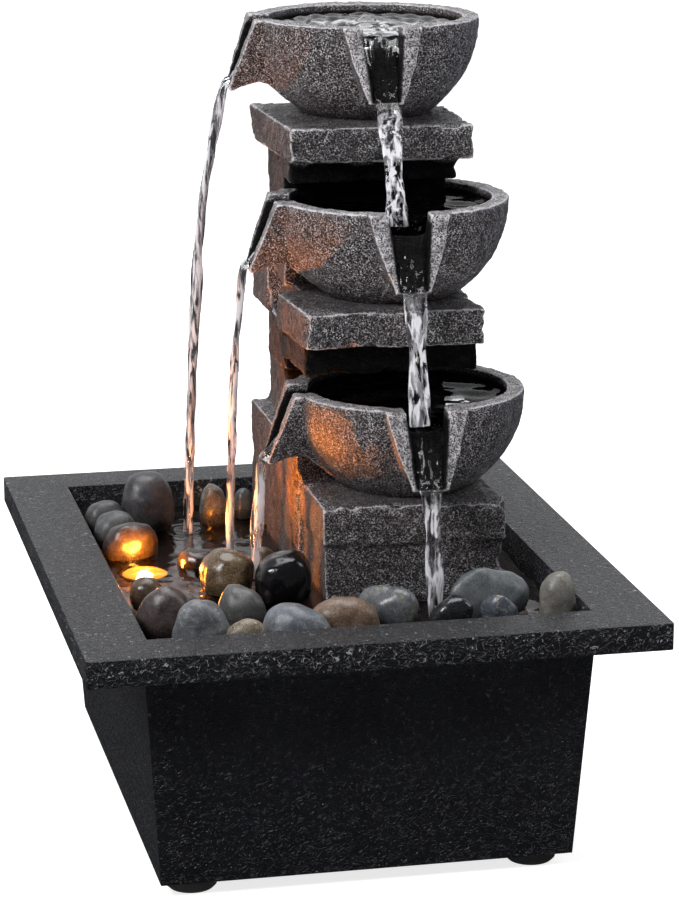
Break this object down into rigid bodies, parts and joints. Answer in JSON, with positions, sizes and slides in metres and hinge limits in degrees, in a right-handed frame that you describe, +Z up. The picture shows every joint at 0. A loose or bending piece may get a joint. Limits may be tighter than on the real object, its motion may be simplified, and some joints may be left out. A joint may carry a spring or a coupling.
{
  "type": "tabletop water fountain",
  "caption": "Free-standing tabletop fountain: black pebble basin with a stone-effect tower of pouring bowls, a submersible pump and an underwater lamp.",
  "frame": {"origin": "centre of the base, on the table under the feet", "axes": "+Z up, front towards -Y, +X to the right of someone facing the front"},
  "size_m": [0.2018, 0.244, 0.2837],
  "materials": {
    "basin_plastic": "leather-grained black",
    "foot_rubber": "matt",
    "gland_rubber": "matt",
    "deck_plastic": "matt black",
    "tower_stone": "stone-effect cast resin, chipped, light edges",
    "bowl_stone": "stone-effect cast resin, fine speckle",
    "fitting_plastic": "moulded",
    "seal_rubber": "matt",
    "hose_plastic": "clear grey vinyl",
    "pump_plastic": "fine grained black",
    "dial_plastic": "moulded",
    "shaft_ceramic": "ground",
    "impeller_plastic": "moulded over a magnet",
    "cup_rubber": "semi-matt",
    "lamp_plastic": "moulded",
    "lamp_lens": "clear amber-lit dome",
    "lamp_board": "circuit board",
    "lamp_emitter": "amber light-emitting diode",
    "lead_rubber": "smooth sheath",
    "pebble_01": "tumbled river stone",
    "pebble_02": "tumbled river stone",
    "pebble_03": "tumbled river stone",
    "pebble_04": "tumbled river stone",
    "pebble_05": "tumbled river stone",
    "pebble_06": "tumbled river stone",
    "pebble_07": "tumbled river stone",
    "pebble_08": "tumbled river stone",
    "pebble_09": "tumbled river stone",
    "pebble_10": "tumbled river stone",
    "pebble_11": "tumbled river stone",
    "pebble_12": "tumbled river stone",
    "pebble_13": "tumbled river stone",
    "pebble_14": "tumbled river stone",
    "pebble_15": "tumbled river stone",
    "pebble_16": "tumbled river stone",
    "pebble_17": "tumbled river stone",
    "pebble_18": "tumbled river stone",
    "pebble_19": "tumbled river stone",
    "pebble_20": "tumbled river stone",
    "pebble_21": "tumbled river stone",
    "pebble_22": "tumbled river stone"
  },
  "bodies": {
    "basin": {"basin": "basin_plastic", "foot_front_left": "foot_rubber", "foot_front_right": "foot_rubber", "foot_back_left": "foot_rubber", "foot_back_right": "foot_rubber", "cord_gland": "gland_rubber", "rock_deck": "deck_plastic", "pump_body": "pump_plastic", "pump_chamber": "pump_plastic", "impeller_shaft": "shaft_ceramic", "suction_cup_1": "cup_rubber", "suction_cup_2": "cup_rubber", "suction_cup_3": "cup_rubber", "suction_cup_4": "cup_rubber", "led_housing": "lamp_plastic", "led_lens": "lamp_lens", "led_seal": "seal_rubber", "led_board": "lamp_board", "led_emitter": "lamp_emitter", "led_lead": "lead_rubber", "pebble_01": "pebble_01", "pebble_02": "pebble_02", "pebble_03": "pebble_03", "pebble_04": "pebble_04", "pebble_05": "pebble_05", "pebble_06": "pebble_06", "pebble_07": "pebble_07", "pebble_08": "pebble_08", "pebble_09": "pebble_09", "pebble_10": "pebble_10", "pebble_11": "pebble_11", "pebble_12": "pebble_12", "pebble_13": "pebble_13", "pebble_14": "pebble_14", "pebble_15": "pebble_15", "pebble_16": "pebble_16", "pebble_17": "pebble_17", "pebble_18": "pebble_18", "pebble_19": "pebble_19", "pebble_20": "pebble_20", "pebble_21": "pebble_21", "pebble_22": "pebble_22"},
    "tower": {"pillar": "tower_stone", "bowl_upper": "bowl_stone", "bowl_middle": "bowl_stone", "bowl_lower": "bowl_stone", "spout_fitting": "fitting_plastic", "fitting_washer": "seal_rubber", "fitting_nut": "fitting_plastic", "riser_hose": "hose_plastic", "hose_coupling": "seal_rubber"},
    "impeller": {"impeller": "impeller_plastic"},
    "pump_cover": {"pump_cover": "pump_plastic"},
    "flow_dial": {"flow_dial": "dial_plastic"}
  },
  "joints": [
    {"name": "tower_lift", "type": "slide", "parent": "basin", "child": "tower", "axis": [0, 0, 1], "range_m": [0, 0.12]},
    {"name": "impeller_spin", "type": "hinge", "parent": "basin", "child": "impeller", "pos_m": [0.033, 0.07, 0.028], "axis": [0, 1, 0], "continuous": true},
    {"name": "pump_cover_slide", "type": "slide", "parent": "basin", "child": "pump_cover", "axis": [0, -1, 0], "range_m": [0, 0.02]},
    {"name": "flow_dial_turn", "type": "hinge", "parent": "pump_cover", "child": "flow_dial", "pos_m": [0.033, 0.038, 0.031], "axis": [0, 1, 0], "range_deg": [0, 90]}
  ]
}
